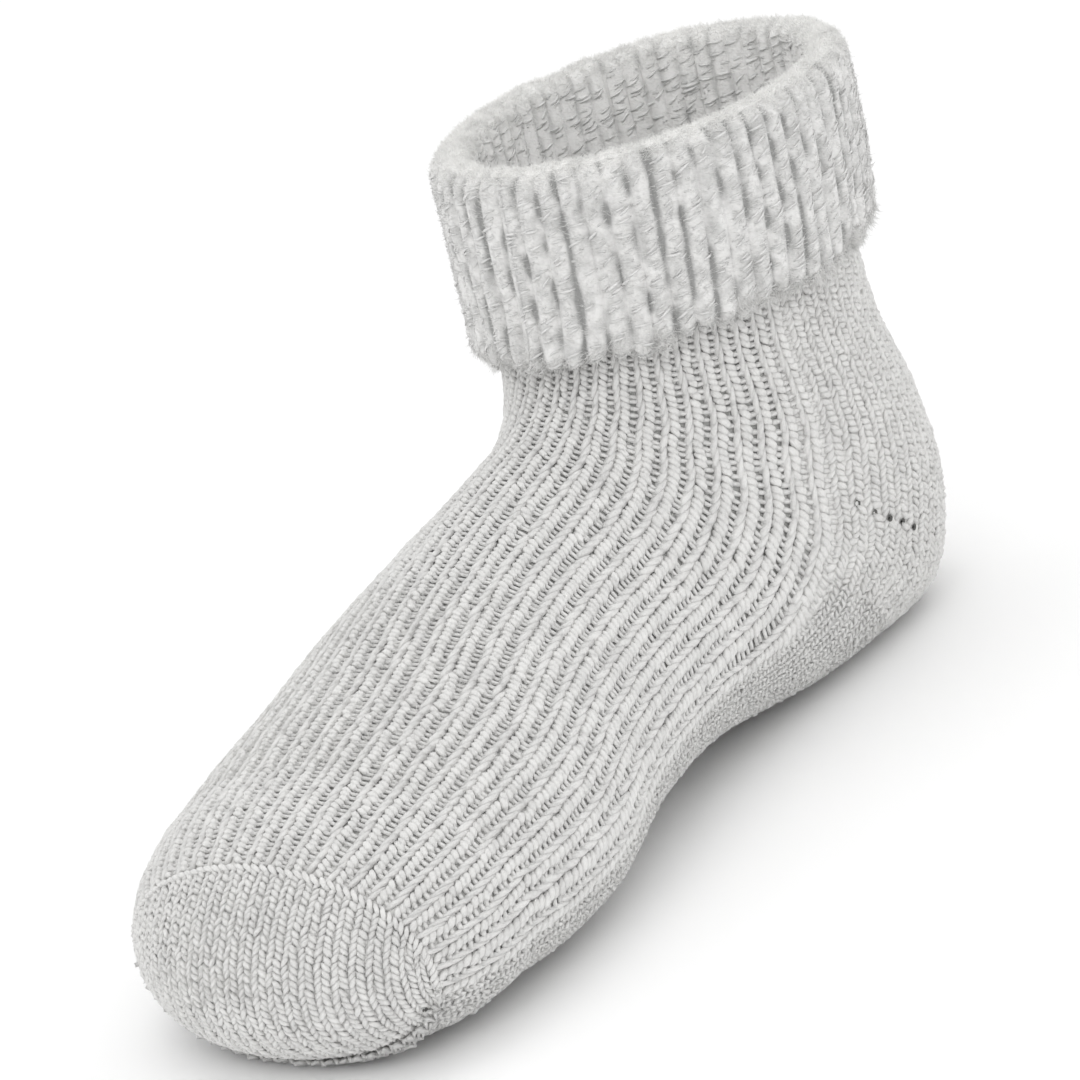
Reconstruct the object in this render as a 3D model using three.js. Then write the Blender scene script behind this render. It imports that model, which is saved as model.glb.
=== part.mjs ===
// A knitted house sock in the shape of a right foot, with its brushed inside turned down as a cuff.
// Millimetres, +Z up, the sole on z = 0 and the toe towards -X.
// The knitting is one hollow body: flat sections run round the foot, fan about the ankle down the
// heel and lie level up the leg. The inside is the same function, one wall thickness further in.
import * as THREE from "three";

// Foot
const footLength = 240; // back of the heel to the tip of the toe
const ballWidth = 92;
const heelWidth = 67;
const instepHeight = 79; // top of the foot where the leg bends up
const toePouchLength = 41; // seam of the toe to its tip
const toeTipHeight = 17; // middle of the tip above the floor
const toeTurn = 7; // the tip lies this much towards the big toe

// Leg
const collarHeight = 127; // floor to the fold of the cuff
const legDepth = 87; // front to back
const legWidth = 73;
const legCentre = 53.5; // middle of the leg ahead of the back of the heel
const legLean = 4; // the collar lies this much behind the ankle

// Knitting
const wall = 2.8;
const cuffHeight = 38; // fold to the lower edge
const cuffThickness = 4.6;
const foldThickness = 3; // the fold above the edge of the leg
const clearance = 0.3; // the cuff to the leg that it lies round

// Outline of the leg from the collar down. rise: height of the section's front and back as shares
// of the way up to the collar. depth, width and lean: shares of the leg's own sizes.
const LEG = [
  { frontRise: 1.0, backRise: 1.0, depth: 1.01, width: 1.0, lean: 1.0, middle: 0.5, square: 2.0 },
  { frontRise: 0.69, backRise: 0.79, depth: 1.0, width: 0.98, lean: 0.68, middle: 0.5, square: 2.0 },
  { frontRise: 0.4, backRise: 0.55, depth: 1.0, width: 0.95, lean: 0.36, middle: 0.5, square: 2.0 },
  { frontRise: 0.18, backRise: 0.27, depth: 1.06, width: 0.93, lean: 0.12, middle: 0.48, square: 2.0 },
];

// Outline of the foot from the heel to the toe seam. top: share of the way from the leg's front to
// the tip. topUp and baseUp: shares of the instep. base: share of the foot's length. heel and ball:
// shares of those widths. turn: share of the toe's turn. middle: how far up the section is widest.
// square: 2 for a round base, more for a flatter one. A base under the floor is cut flat on it.
const FOOT = [
  {
    top: 0.04, topUp: 1.04, base: 0.004, baseUp: 0.53,
    heel: 1.0, ball: 0, turn: 0, middle: 0.45, square: 2.1,
  },
  {
    top: 0.065, topUp: 1.0, base: 0.006, baseUp: 0.24,
    heel: 1.0, ball: 0, turn: 0, middle: 0.42, square: 2.3,
  },
  {
    top: 0.1, topUp: 0.965, base: 0.062, baseUp: 0.012,
    heel: 1.0, ball: 0, turn: 0, middle: 0.4, square: 2.6,
  },
  {
    top: 0.145, topUp: 0.935, base: 0.167, baseUp: -0.019,
    heel: 1.02, ball: 0, turn: -0.1, middle: 0.38, square: 2.8,
  },
  {
    top: 0.21, topUp: 0.895, base: 0.283, baseUp: -0.01,
    heel: 0.85, ball: 0.14, turn: -0.25, middle: 0.38, square: 2.8,
  },
  {
    top: 0.305, topUp: 0.835, base: 0.433, baseUp: 0.05,
    heel: 0.6, ball: 0.37, turn: -0.35, middle: 0.4, square: 2.6,
  },
  {
    top: 0.42, topUp: 0.765, base: 0.565, baseUp: 0.045,
    heel: 0.3, ball: 0.68, turn: -0.2, middle: 0.42, square: 2.6,
  },
  {
    top: 0.53, topUp: 0.695, base: 0.675, baseUp: -0.01,
    heel: 0, ball: 0.98, turn: 0.05, middle: 0.42, square: 2.8,
  },
  {
    top: 0.63, topUp: 0.645, base: 0.765, baseUp: -0.019,
    heel: 0, ball: 1.0, turn: 0.25, middle: 0.44, square: 2.8,
  },
];

// The toe pouch, from its seam on: the share of the instep at the seam's top and base, and how
// round the pouch closes seen from above and from the side
const TOE = { topUp: 0.6, baseUp: -0.01, ball: 0.985, turn: 0.4, middle: 0.46, square: 2.6 };
const toePlanRoundness = 2.1;
const toeSideRoundness = 2.0;

// Steps of the mesh
const stepsRound = 40;
const stepsPerSection = 3;
const stepsInToe = 6;
const stepsDownCuff = 8;
const halvings = 40; // of the search for a height on the leg's side
const nearRound = 0.02; // the two neighbours of a point, round and along, that give its slope
const nearAlong = 0.01;

const rimHeight = collarHeight - foldThickness - clearance; // upper edge of the leg, inside the fold
const heelBend = FOOT[0].baseUp * instepHeight; // where the back of the leg meets the heel
const legFront = legCentre + legDepth / 2;

function legSection(row) {
  const middleAhead = legCentre - row.lean * legLean;
  const halfDepth = (row.depth * legDepth) / 2;
  return {
    topAhead: middleAhead + halfDepth,
    topHeight: instepHeight + row.frontRise * (rimHeight - instepHeight),
    baseAhead: middleAhead - halfDepth,
    baseHeight: heelBend + row.backRise * (rimHeight - heelBend),
    halfWidth: (row.width * legWidth) / 2,
    side: 0,
    middle: row.middle,
    square: row.square,
  };
}

function footSection(row) {
  return {
    topAhead: legFront + row.top * (footLength - legFront),
    topHeight: row.topUp * instepHeight,
    baseAhead: row.base * footLength,
    baseHeight: row.baseUp * instepHeight,
    halfWidth: (row.heel * heelWidth + row.ball * ballWidth) / 2,
    side: row.turn * toeTurn,
    middle: row.middle,
    square: row.square,
  };
}

const toeSeam = {
  topAhead: footLength - toePouchLength,
  topHeight: TOE.topUp * instepHeight,
  baseAhead: footLength - toePouchLength,
  baseHeight: TOE.baseUp * instepHeight,
  halfWidth: (TOE.ball * ballWidth) / 2,
  side: TOE.turn * toeTurn,
  middle: TOE.middle,
  square: TOE.square,
};

const sections = [...LEG.map(legSection), ...FOOT.map(footSection), toeSeam];
const seamAt = sections.length - 1;
const tipAt = seamAt + 1;

// A smooth curve through the sections' values, t = 0 at the collar and 1 more at each section
function between(name, t) {
  const last = sections.length - 1;
  const i = Math.min(Math.floor(t), last - 1);
  const f = t - i;
  const p1 = sections[i][name];
  const p2 = sections[i + 1][name];
  const p0 = i > 0 ? sections[i - 1][name] : 2 * p1 - p2;
  const p3 = i < last - 1 ? sections[i + 2][name] : 2 * p2 - p1;
  const bend = 2 * p0 - 5 * p1 + 4 * p2 - p3;
  const twist = 3 * (p1 - p2) + p3 - p0;
  return p1 + (f * (p2 - p0 + f * (bend + f * twist))) / 2;
}

function sectionAt(t) {
  if (t <= seamAt) {
    return Object.fromEntries(Object.keys(toeSeam).map((name) => [name, between(name, t)]));
  }
  const reach = Math.sin((Math.min(t - seamAt, 1) * Math.PI) / 2);
  const narrow = (1 - reach ** toePlanRoundness) ** (1 / toePlanRoundness);
  const low = (1 - reach ** toeSideRoundness) ** (1 / toeSideRoundness);
  const seamMiddle = (toeSeam.topHeight + toeSeam.baseHeight) / 2;
  const halfHeight = ((toeSeam.topHeight - toeSeam.baseHeight) / 2) * low;
  const middleHeight = seamMiddle + (toeTipHeight - seamMiddle) * reach;
  const ahead = toeSeam.topAhead + toePouchLength * reach;
  return {
    topAhead: ahead,
    topHeight: middleHeight + halfHeight,
    baseAhead: ahead,
    baseHeight: middleHeight - halfHeight,
    halfWidth: toeSeam.halfWidth * narrow,
    side: toeSeam.side + (toeTurn - toeSeam.side) * reach,
    middle: toeSeam.middle + (0.5 - toeSeam.middle) * reach,
    square: toeSeam.square + (2 - toeSeam.square) * reach,
  };
}

// A point of the outside. round = 0 is the front of the leg or the top of the foot, a quarter turn
// the side of the big toe, half a turn the back of the leg or the sole.
function outside(round, t) {
  const s = sectionAt(t);
  const up = Math.cos(round);
  const out = Math.sin(round);
  const power = up < 0 ? 2 / s.square : 1;
  const rise = Math.sign(up) * Math.abs(up) ** power;
  const reach = Math.sign(out) * Math.abs(out) ** power;
  const share = s.middle + rise * (up < 0 ? s.middle : 1 - s.middle);
  const ahead = s.baseAhead + (s.topAhead - s.baseAhead) * share;
  const height = s.baseHeight + (s.topHeight - s.baseHeight) * share;
  return new THREE.Vector3(-ahead, -s.halfWidth * reach - s.side, Math.max(height, 0));
}

// The outward direction there
function outward(round, t) {
  const low = Math.max(t - nearAlong, 0);
  const high = Math.min(t + nearAlong, tipAt - nearAlong);
  const across = outside(round + nearRound, t).sub(outside(round - nearRound, t));
  const along = outside(round, high).sub(outside(round, low));
  return along.cross(across).normalize();
}

function level(direction) {
  return direction.setZ(0).normalize();
}

function inside(round, t) {
  const direction = outward(round, t);
  if (t === 0) {
    level(direction);
  }
  return outside(round, t).addScaledVector(direction, -wall);
}

// One ring of points round the sock
function ring(point) {
  const points = [];
  for (let i = 0; i < stepsRound; i++) {
    points.push(point((i / stepsRound) * 2 * Math.PI));
  }
  return points;
}

// A closed surface through rings of equal count; a ring of one point closes an end
function skin(rings, closed) {
  const positions = [];
  const first = [];
  for (const points of rings) {
    first.push(positions.length / 3);
    for (const p of points) {
      positions.push(p.x, p.y, p.z);
    }
  }
  const corners = (r, i, j) => rings[r].length > 1 ? [first[r] + i, first[r] + j] : [first[r], first[r]];
  const index = [];
  const pairs = closed ? rings.length : rings.length - 1;
  for (let r = 0; r < pairs; r++) {
    const next = (r + 1) % rings.length;
    for (let i = 0; i < stepsRound; i++) {
      const j = (i + 1) % stepsRound;
      const [a, b] = corners(r, i, j);
      const [c, d] = corners(next, i, j);
      if (a !== b) {
        index.push(a, d, b);
      }
      if (c !== d) {
        index.push(a, c, d);
      }
    }
  }
  const geometry = new THREE.BufferGeometry();
  geometry.setAttribute("position", new THREE.Float32BufferAttribute(positions, 3));
  geometry.setIndex(index);
  geometry.computeVertexNormals();
  return geometry;
}

// Leg, instep, heel, sole and toe, knitted in one piece and open at the collar
function knittedBody() {
  const steps = [];
  for (let i = 0; i < seamAt * stepsPerSection; i++) {
    steps.push(i / stepsPerSection);
  }
  for (let i = 0; i < stepsInToe; i++) {
    steps.push(seamAt + i / stepsInToe);
  }
  const outer = steps.map((t) => ring((round) => outside(round, t)));
  const inner = steps.map((t) => ring((round) => inside(round, t)));
  const tip = outside(0, tipAt);
  const innerTip = tip.clone().setX(tip.x + wall);
  return skin([[innerTip], ...inner.reverse(), ...outer, [tip]], false);
}

// The height on the leg's side where it has dropped this far under its upper edge
function dropTo(round, drop) {
  let low = 0;
  let high = LEG.length;
  for (let i = 0; i < halvings; i++) {
    const t = (low + high) / 2;
    if (rimHeight - outside(round, t).z < drop) {
      low = t;
    } else {
      high = t;
    }
  }
  return (low + high) / 2;
}

// A point of the cuff: out from the leg's outside, and up from its upper edge
function cuffPoint(round, out, up) {
  const t = up < 0 ? dropTo(round, -up) : 0;
  const point = outside(round, t).addScaledVector(level(outward(round, t)), out);
  return up > 0 ? point.setZ(rimHeight + up) : point;
}

// The turned-down band: a hook over the edge of the leg that hangs round it, carried round the leg
function turnedCuff() {
  const drop = cuffHeight - foldThickness - clearance;
  const face = clearance + cuffThickness;
  const fold = foldThickness + clearance;
  const inner = [];
  for (let i = stepsDownCuff; i > 0; i--) {
    inner.push({ out: clearance, up: (-drop * i) / stepsDownCuff });
  }
  const profile = [
    ...inner,
    { out: clearance, up: clearance },
    { out: -wall, up: clearance },
    { out: -wall, up: 0.55 * fold },
    { out: -0.45 * wall, up: 0.92 * fold },
    { out: 0.2 * face, up: fold },
    { out: 0.62 * face, up: 0.75 * fold },
    { out: 0.95 * face, up: 0 },
    { out: 1.05 * face, up: -0.25 * drop },
    { out: 1.1 * face, up: -0.6 * drop },
    { out: 1.05 * face, up: -0.92 * drop },
    { out: 0.85 * face, up: -drop },
  ];
  const rings = profile.map(({ out, up }) => ring((round) => cuffPoint(round, out, up)));
  return skin(rings, true);
}

const knit = new THREE.MeshStandardMaterial({ color: "#d3d2cf", roughness: 0.95, metalness: 0 });
const brushed = new THREE.MeshStandardMaterial({ color: "#d9d7d3", roughness: 1, metalness: 0 });

const sock = new THREE.Group();
const body = new THREE.Mesh(knittedBody(), knit);
body.name = "sock_body";
const cuff = new THREE.Mesh(turnedCuff(), brushed);
cuff.name = "turned_cuff";
sock.add(body, cuff);

// The middle of the sock's length and breadth is the origin
const middle = new THREE.Box3().setFromObject(sock).getCenter(new THREE.Vector3());
sock.children.forEach((piece) => piece.position.set(-middle.x, -middle.y, 0));

export default sock;
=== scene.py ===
# %% [markdown]
# A thick house sock, knitted in one piece and turned down at the top so that its brushed inside
# shows as a fluffy cuff. The solids from the CAD stage are a frame with fixed places. We load them
# first and keep the box that they fill, because nothing made here may change the sock's size.

import bpy
import numpy as np
from mathutils import Matrix, Vector


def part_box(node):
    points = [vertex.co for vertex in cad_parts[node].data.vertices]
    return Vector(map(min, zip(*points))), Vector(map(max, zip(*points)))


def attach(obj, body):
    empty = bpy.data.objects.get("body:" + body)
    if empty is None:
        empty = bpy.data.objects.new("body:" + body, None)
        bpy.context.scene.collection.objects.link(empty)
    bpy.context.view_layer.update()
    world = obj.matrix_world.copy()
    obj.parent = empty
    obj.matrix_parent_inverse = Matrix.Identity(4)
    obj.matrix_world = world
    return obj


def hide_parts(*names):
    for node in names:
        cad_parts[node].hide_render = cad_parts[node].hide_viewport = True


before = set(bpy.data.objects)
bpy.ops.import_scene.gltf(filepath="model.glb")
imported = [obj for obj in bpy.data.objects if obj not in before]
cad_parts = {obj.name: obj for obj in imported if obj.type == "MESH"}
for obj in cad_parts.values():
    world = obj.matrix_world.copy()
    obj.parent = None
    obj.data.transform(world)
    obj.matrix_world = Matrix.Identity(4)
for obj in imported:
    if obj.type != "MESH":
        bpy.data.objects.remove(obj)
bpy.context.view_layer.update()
leg_box = [np.array(corner) * 1000 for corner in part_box("sock_body")]
cuff_box = [np.array(corner) * 1000 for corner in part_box("turned_cuff")]
print("body", leg_box, "cuff", cuff_box)

# %% [markdown]
# The photographer stood in front of the big toe's side, a little above the sock, and the sock is
# tipped forward in the picture. A camera that is rolled by the same angle gives the same lean
# while the real sock stays flat on its sole. A long lens far away keeps the toe from swelling.

# %% Camera
IMAGE = 1080
azimuth, elevation, roll = np.radians([-48.0, 19.0, -16.0])
distance = 930.0
pixels_per_mm = 5.0
looked_at = np.array([0.0, 0.0, 52.0])
seen_at = np.array([540.0, 569.0])

back = np.array([
    np.sin(azimuth) * np.cos(elevation),
    -np.cos(azimuth) * np.cos(elevation),
    np.sin(elevation),
])
level_right = np.array([np.cos(azimuth), np.sin(azimuth), 0])
level_up = np.cross(back, level_right)
right = np.cos(roll) * level_right + np.sin(roll) * level_up
up = np.cross(back, right)
offset = (seen_at - IMAGE / 2) / pixels_per_mm
stand = looked_at + distance * back - offset[0] * right + offset[1] * up

camera = bpy.data.objects.new("camera", bpy.data.cameras.new("camera"))
camera.data.sensor_width = 36
camera.data.lens = pixels_per_mm * camera.data.sensor_width * distance / IMAGE
camera.data.clip_end = 50
camera.matrix_world = Matrix.Translation(Vector(stand / 1000)) @ Matrix(
    np.column_stack([right, up, back]).tolist()
).to_4x4()
bpy.context.scene.collection.objects.link(camera)
bpy.context.scene.camera = camera
print("lens", camera.data.lens, "stands at", stand)

# %% [markdown]
# Pale wool needs light that wraps round it, or each stitch turns harsh. A white world gives most of
# it, a wide lamp on the toe's side shapes the sock, and a second one keeps the back from going grey.

# %% Floor and light
scene = bpy.context.scene
scene.view_settings.view_transform = "Standard"
scene.view_settings.look = "None"


def plain_material(name, colour, roughness):
    material = bpy.data.materials.new(name)
    material.use_nodes = True
    shader = material.node_tree.nodes["Principled BSDF"]
    shader.inputs["Base Color"].default_value = (*colour, 1)
    shader.inputs["Roughness"].default_value = roughness
    return material, shader


floor_mesh = bpy.data.meshes.new("floor")
reach_of_floor = 6.0
corners = [(-1, -1, 0), (1, -1, 0), (1, 1, 0), (-1, 1, 0)]
floor_mesh.from_pydata([tuple(reach_of_floor * c for c in corner) for corner in corners], [], [(0, 1, 2, 3)])
floor = bpy.data.objects.new("floor", floor_mesh)
floor_mesh.materials.append(plain_material("pale_floor", (0.98, 0.98, 0.98), 0.9)[0])
scene.collection.objects.link(floor)

world = bpy.data.worlds.new("studio")
world.use_nodes = True
world.node_tree.nodes["Background"].inputs["Color"].default_value = (1.0, 1.0, 1.0, 1)
world.node_tree.nodes["Background"].inputs["Strength"].default_value = 0.98
scene.world = world


def soft_lamp(name, place, size, energy):
    lamp = bpy.data.lights.new(name, "AREA")
    lamp.shape = "DISK"
    lamp.size = size
    lamp.energy = energy
    holder = bpy.data.objects.new(name, lamp)
    holder.location = place
    holder.rotation_euler = Vector(place).to_track_quat("Z", "Y").to_euler()
    scene.collection.objects.link(holder)


soft_lamp("key", (-1.3, -0.9, 1.5), 1.2, 5)
soft_lamp("fill", (1.6, -0.6, 1.4), 1.6, 1.5)
soft_lamp("overhead", (0.15, 0.2, 2.2), 1.2, 3)

# %% [markdown]
# The sock's own form is a tube whose flat sections run round the foot. Each section has eight
# measures, and a smooth curve carries every measure from one section to the next. The same numbers
# made the solid, so yarn that is laid on this surface lies where the solid is.

# %% The form of the sock
FOOT_LENGTH, BALL_WIDTH, HEEL_WIDTH, INSTEP = 240.0, 92.0, 67.0, 79.0
TOE_POUCH, TIP_HEIGHT, TOE_TURN = 41.0, 17.0, 7.0
COLLAR, LEG_DEPTH, LEG_WIDTH, LEG_CENTRE, LEG_LEAN = 127.0, 87.0, 73.0, 53.5, 4.0
WALL, FOLD, CLEARANCE, CUFF_HEIGHT, CUFF_THICK = 2.8, 3.0, 0.3, 38.0, 4.6
PLAN_ROUND, SIDE_ROUND = 2.1, 2.0
RIM = COLLAR - FOLD - CLEARANCE

# front rise, back rise, depth, width, lean, middle, square
LEG = np.array([
    (1, 1, 1.01, 1, 1, 0.5, 2),
    (0.69, 0.79, 1, 0.98, 0.68, 0.5, 2),
    (0.4, 0.55, 1, 0.95, 0.36, 0.5, 2),
    (0.18, 0.27, 1.06, 0.93, 0.12, 0.48, 2),
])
# top, top up, base, base up, heel, ball, turn, middle, square
FOOT = np.array([
    (0.04, 1.04, 0.004, 0.53, 1, 0, 0, 0.45, 2.1),
    (0.065, 1, 0.006, 0.24, 1, 0, 0, 0.42, 2.3),
    (0.1, 0.965, 0.062, 0.012, 1, 0, 0, 0.4, 2.6),
    (0.145, 0.935, 0.167, -0.019, 1.02, 0, -0.1, 0.38, 2.8),
    (0.21, 0.895, 0.283, -0.01, 0.85, 0.14, -0.25, 0.38, 2.8),
    (0.305, 0.835, 0.433, 0.05, 0.6, 0.37, -0.35, 0.4, 2.6),
    (0.42, 0.765, 0.565, 0.045, 0.3, 0.68, -0.2, 0.42, 2.6),
    (0.53, 0.695, 0.675, -0.01, 0, 0.98, 0.05, 0.42, 2.8),
    (0.63, 0.645, 0.765, -0.019, 0, 1, 0.25, 0.44, 2.8),
])
SEAM = dict(top_up=0.6, base_up=-0.01, ball=0.985, turn=0.4, middle=0.46, square=2.6)


def all_sections():
    """Rows of top ahead, top height, base ahead, base height, half width, side, middle, square."""
    front, rear, depth, width, lean, middle, square = LEG.T
    heel_bend = FOOT[0, 3] * INSTEP
    ahead = LEG_CENTRE - lean * LEG_LEAN
    leg = np.column_stack([
        ahead + depth * LEG_DEPTH / 2,
        INSTEP + front * (RIM - INSTEP),
        ahead - depth * LEG_DEPTH / 2,
        heel_bend + rear * (RIM - heel_bend),
        width * LEG_WIDTH / 2,
        0 * width,
        middle,
        square,
    ])
    top, top_up, base, base_up, heel, ball, turn, middle, square = FOOT.T
    leg_front = LEG_CENTRE + LEG_DEPTH / 2
    foot = np.column_stack([
        leg_front + top * (FOOT_LENGTH - leg_front),
        top_up * INSTEP,
        base * FOOT_LENGTH,
        base_up * INSTEP,
        (heel * HEEL_WIDTH + ball * BALL_WIDTH) / 2,
        turn * TOE_TURN,
        middle,
        square,
    ])
    at = FOOT_LENGTH - TOE_POUCH
    seam = [
        at, SEAM["top_up"] * INSTEP, at, SEAM["base_up"] * INSTEP,
        SEAM["ball"] * BALL_WIDTH / 2, SEAM["turn"] * TOE_TURN, SEAM["middle"], SEAM["square"],
    ]
    return np.vstack([leg, foot, seam])


SECTIONS = all_sections()
SEAM_AT = len(SECTIONS) - 1
TIP_AT = SEAM_AT + 1
PADDED = np.vstack([2 * SECTIONS[0] - SECTIONS[1], SECTIONS, 2 * SECTIONS[-1] - SECTIONS[-2]])


def measures(t):
    """The eight measures at t: a cubic through four neighbours up to the seam, then a quarter
    of an ellipse in plan and in side view that closes the toe."""
    knit = np.minimum(t, SEAM_AT)
    i = np.minimum(knit.astype(int), SEAM_AT - 1)
    f = (knit - i)[..., None]
    p0, p1, p2, p3 = (PADDED[i + k] for k in range(4))
    bend = 2 * p0 - 5 * p1 + 4 * p2 - p3
    twist = 3 * (p1 - p2) + p3 - p0
    values = p1 + f * (p2 - p0 + f * (bend + f * twist)) / 2
    reach = np.sin(np.clip(t - SEAM_AT, 0, 1) * np.pi / 2)
    narrow = (1 - reach ** PLAN_ROUND) ** (1 / PLAN_ROUND)
    low = (1 - reach ** SIDE_ROUND) ** (1 / SIDE_ROUND)
    seam = SECTIONS[-1]
    half = (seam[1] - seam[3]) / 2 * low
    centre = (seam[1] + seam[3]) / 2
    centre = centre + (TIP_HEIGHT - centre) * reach
    ahead = seam[0] + TOE_POUCH * reach
    toe = np.stack([
        ahead, centre + half, ahead, centre - half, seam[4] * narrow,
        seam[5] + (TOE_TURN - seam[5]) * reach,
        seam[6] + (0.5 - seam[6]) * reach,
        seam[7] + (2 - seam[7]) * reach,
    ], axis=-1)
    return np.where((t > SEAM_AT)[..., None], toe, values)


def unplaced(turn, t):
    """A point of the outside: the section is an ellipse whose lower half is squarer, leaned from
    its base to its top, and whatever falls under the floor is flattened on it."""
    turn, t = np.broadcast_arrays(np.asarray(turn, float), np.asarray(t, float))
    top, top_z, base, base_z, half, side, middle, square = np.moveaxis(measures(t), -1, 0)
    rise, out = np.cos(turn), np.sin(turn)
    power = np.where(rise < 0, 2 / square, 1)
    rise = np.sign(rise) * np.abs(rise) ** power
    out = np.sign(out) * np.abs(out) ** power
    share = middle + rise * np.where(rise < 0, middle, 1 - middle)
    x = -(base + (top - base) * share)
    z = np.maximum(base_z + (top_z - base_z) * share, 0)
    return np.stack([x, -half * out - side, z], axis=-1)


around = np.linspace(0, 2 * np.pi, 241)
raw = unplaced(around[None, :], np.linspace(0, TIP_AT - 0.001, 300)[:, None])
PLACED = np.array([leg_box[0][0] - raw[..., 0].min(), leg_box[0][1] - raw[..., 1].min(), 0])


def outside(turn, t):
    """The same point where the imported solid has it, in millimetres."""
    return unplaced(turn, t) + PLACED


def unit(v):
    return v / np.maximum(np.linalg.norm(v, axis=-1, keepdims=True), 1e-9)


def outward(turn, t):
    """The direction out of the surface: along the sock crossed with round it."""
    step = 0.01
    across = outside(turn + step, t) - outside(turn - step, t)
    along = outside(turn, np.minimum(t + step, TIP_AT - 0.002)) - outside(turn, np.maximum(t - step, 0))
    return unit(np.cross(along, across))


print("sections", len(SECTIONS), "moved by", PLACED)

# %% [markdown]
# A knitting machine has needles at even distances, so its lines of stitches, the wales, are spread
# evenly round the tube. A table turns an even share of the way round into the angle that the
# surface function wants. Ribs cover the front half, plain knitting the back, heel and sole.

# %% Even spacing round the sock
SHARES = np.linspace(-1, 1, 121)
LEVELS = np.linspace(0, SEAM_AT, SEAM_AT * 8 + 1)


def rib_edge(t):
    """Where the ribs end on each side: at the side of the leg, and lower down on the foot."""
    return np.radians(77 + 28 * np.clip((t - 5.5) / 3.5, 0, 1))


def spread(low, high, even):
    """For each level, the angles that cut the way from low to high into even lengths, mixed with
    even angles, and then smoothed from level to level so that no line of stitches kinks."""
    rows = []
    for level, a, b in zip(LEVELS, low, high):
        angles = np.linspace(a, b, 241)
        points = outside(angles, level)
        run = np.concatenate([[0], np.cumsum(np.linalg.norm(np.diff(points, axis=0), axis=1))])
        by_length = np.interp((SHARES + 1) / 2 * run[-1], run, angles)
        by_angle = np.interp((SHARES + 1) / 2, [0, 1], [a, b])
        rows.append(even * by_length + (1 - even) * by_angle)
    rows = np.array(rows)
    for _ in range(10):
        wide = np.vstack([rows[:1], rows, rows[-1:]])
        rows = (wide[:-2] + 2 * wide[1:-1] + wide[2:]) / 4
    return rows


def look(table, t, share):
    """Read a table between its rows and columns by straight lines."""
    row = np.clip(np.asarray(t, float) / LEVELS[1], 0, len(LEVELS) - 1.001)
    col = np.clip((np.asarray(share, float) + 1) / 2 * (len(SHARES) - 1), 0, len(SHARES) - 1.001)
    i, j = row.astype(int), col.astype(int)
    a, b = row - i, col - j
    top = table[i, j] * (1 - b) + table[i, j + 1] * b
    return top * (1 - a) + (table[i + 1, j] * (1 - b) + table[i + 1, j + 1] * b) * a


edges = rib_edge(LEVELS)
FRONT = spread(-edges, edges, 0.45)
REAR = spread(edges, 2 * np.pi - edges, 0.8)
seam_arc = np.linspace(-np.pi / 2, np.pi / 2, 241)
seam_run = np.concatenate([[0], np.cumsum(np.linalg.norm(np.diff(outside(seam_arc, SEAM_AT), axis=0), axis=1))])
GORE_LOW = 0.85  # the toe's gore lies this share of the way down from the tip's middle
SEAM_T = SEAM_AT + 0.4  # the linking seam lies this far along
SEAM_RADIUS = (1 - np.sin(0.4 * np.pi / 2) ** PLAN_ROUND) ** (1 / PLAN_ROUND)


def front_chart(share, t):
    return look(FRONT, t, share), t


def rear_chart(share, t):
    return look(REAR, t, share), t


def disk_chart(x, y):
    """The toe seen end on is a disk; its radius tells how far along the toe a point is."""
    radius = np.minimum(np.hypot(x, y), 1)
    reach = np.maximum(1 - radius ** PLAN_ROUND, 0) ** (1 / PLAN_ROUND)
    return np.arctan2(x, y), SEAM_AT + np.arcsin(np.clip(reach, 0, 1)) * 2 / np.pi


def toe_line(share):
    """Sideways place on the disk of a line that leaves the seam at an even share of its length."""
    return SEAM_RADIUS * np.sin(np.interp((share + 1) / 2 * seam_run[-1], seam_run, seam_arc))


def toe_top_chart(share, down):
    x = toe_line(share)
    chord = np.sqrt(np.maximum(SEAM_RADIUS ** 2 - x ** 2, 0))
    return disk_chart(x, chord * (1 - down ** 2 * (1 + GORE_LOW)))


def toe_sole_chart(share, down):
    x = toe_line(share)
    chord = np.sqrt(np.maximum(SEAM_RADIUS ** 2 - x ** 2, 0))
    return disk_chart(x, -chord * (1 - down ** 2 * (1 - GORE_LOW)))


def lay(chart, lines, spans, pitch, breadth, nudge):
    """Stitches on a chart. Each line across the fabric is followed from one end of its span to
    the other, and its length is cut into even courses. Gives a dictionary of arrays: place,
    left, along, out, width, height, line, course, cross and progress of each stitch."""
    rows = []
    for n, (line, (start, stop)) in enumerate(zip(lines, spans)):
        steps = np.linspace(start, stop, 500)
        points = outside(*chart(np.full_like(steps, line), steps))
        run = np.concatenate([[0], np.cumsum(np.linalg.norm(np.diff(points, axis=0), axis=1))])
        count = max(int(round(run[-1] / pitch)) if pitch > 0 else int(-pitch), 1)
        at = (np.arange(count) + 0.5) / count * run[-1]
        rows.append(np.column_stack([
            np.full(count, line), np.interp(at, run, steps),
            np.full(count, run[-1] / count), np.full(count, n), np.arange(count),
        ]))
    cross, progress, height, line, course = np.vstack(rows).T
    low = np.minimum(spans[0][0], spans[0][1])
    ahead = outside(*chart(cross, progress + nudge)) - outside(*chart(cross, np.maximum(progress - nudge, low)))
    side = outside(*chart(cross + breadth / 4, progress)) - outside(*chart(cross - breadth / 4, progress))
    along = unit(ahead)
    out = unit(np.cross(along, side))
    left = np.cross(along, out)
    width = np.abs(np.sum(side * left, axis=1)) * 2
    return dict(
        place=outside(*chart(cross, progress)), left=left, along=along, out=out, width=width,
        height=height, line=line, course=course, cross=cross, progress=progress,
    )


# %% [markdown]
# Thousands of stitches are one mesh, not thousands of objects. A short tube is worked out once, and
# numpy copies it to every place at once. Every copy keeps a tint of its own, and a coordinate that
# runs along its yarn, so the material can draw fibres in the yarn's own direction.

# %% Making meshes
made = {}


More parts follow.
